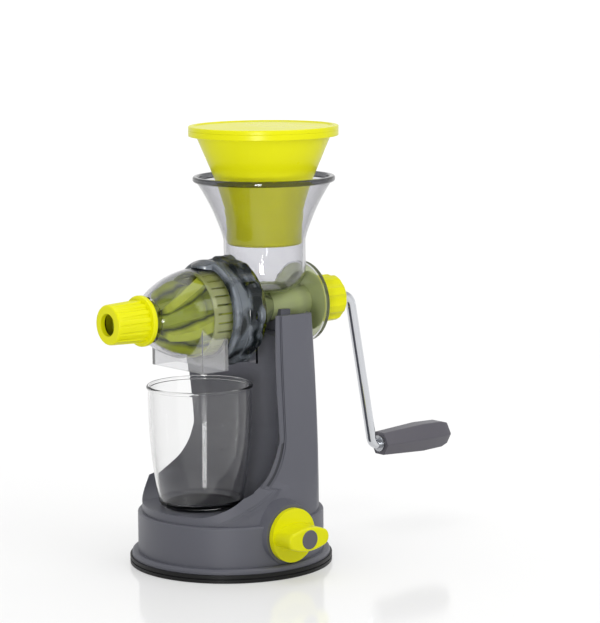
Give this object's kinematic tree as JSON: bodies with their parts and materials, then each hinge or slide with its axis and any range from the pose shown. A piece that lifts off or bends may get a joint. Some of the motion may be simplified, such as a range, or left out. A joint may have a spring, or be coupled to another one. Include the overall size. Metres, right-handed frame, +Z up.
{
  "type": "manual wheatgrass juicer",
  "caption": "Hand-cranked auger juicer on a suction base, with hopper and pusher, clear cover with strainer and spout, pulp cap, side crank, lock knob and tumbler.",
  "frame": {"origin": "centre of the suction pad's flat underside", "axes": "+Z up; +X along the barrel towards the crank, so the pulp outlet points to -X; the lock knob is on -Y"},
  "size_m": [0.3198, 0.1644, 0.3165],
  "materials": {
    "grey_plastic": "satin",
    "dark_plastic": "satin",
    "lime_plastic": "glossy",
    "auger_plastic": "glossy",
    "strainer_plastic": "glossy",
    "smoke_clear": "clear tinted plastic",
    "clear_glass": "clear",
    "rubber": "matte",
    "chrome": "polished",
    "steel": "brushed"
  },
  "bodies": {
    "stand": {"suction_pad": "rubber", "pad_plate": "grey_plastic", "base_screws": "steel", "stand_body": "grey_plastic", "feed_housing": "smoke_clear", "front_gasket": "rubber", "front_cover": "smoke_clear", "strainer": "strainer_plastic", "rear_bush": "auger_plastic", "shaft_seal": "rubber"},
    "crank": {"auger": "auger_plastic", "auger_seal": "rubber", "auger_shaft": "steel", "hub_nut": "lime_plastic", "crank_rod": "chrome", "grip_washer": "steel", "grip_nut": "steel"},
    "grip": {"crank_grip": "dark_plastic"},
    "ring": {"lock_ring": "smoke_clear"},
    "outlet_cap": {"pulp_cap": "lime_plastic"},
    "pusher": {"pusher": "lime_plastic", "pusher_lid": "lime_plastic"},
    "tumbler": {"juice_cup": "clear_glass"},
    "knob": {"lock_knob": "lime_plastic", "knob_insert": "dark_plastic", "knob_screw": "steel", "cam_shaft": "steel"},
    "stem": {"pull_stem": "steel"}
  },
  "joints": [
    {"name": "crank_turn", "type": "hinge", "parent": "stand", "child": "crank", "pos_m": [0.076, 0, 0.1845], "axis": [1, 0, 0], "continuous": true},
    {"name": "grip_spin", "type": "hinge", "parent": "crank", "child": "grip", "pos_m": [0.18, 0, 0.0665], "axis": [1, 0, 0], "continuous": true},
    {"name": "ring_twist", "type": "hinge", "parent": "stand", "child": "ring", "pos_m": [-0.008, 0, 0.1845], "axis": [-1, 0, 0], "range_deg": [0, 40]},
    {"name": "cap_screw", "type": "hinge", "parent": "stand", "child": "outlet_cap", "pos_m": [-0.09, 0, 0.1845], "axis": [-1, 0, 0], "range_deg": [0, 270]},
    {"name": "pusher_slide", "type": "slide", "parent": "stand", "child": "pusher", "axis": [0, 0, 1], "range_m": [-0.012, 0.06]},
    {"name": "tumbler_out", "type": "slide", "parent": "stand", "child": "tumbler", "axis": [-1, 0, 0], "range_m": [0, 0.11]},
    {"name": "knob_turn", "type": "hinge", "parent": "stand", "child": "knob", "pos_m": [0, -0.07, 0.0302], "axis": [0, -1, 0], "range_deg": [0, 90]},
    {"name": "stem_lift", "type": "slide", "parent": "stand", "child": "stem", "axis": [0, 0, 1], "range_m": [0, 0.003]}
  ],
  "couplings": [
    {"joint": "stem_lift", "follows": "knob_turn", "m_per_rad": 0.0019099}
  ]
}
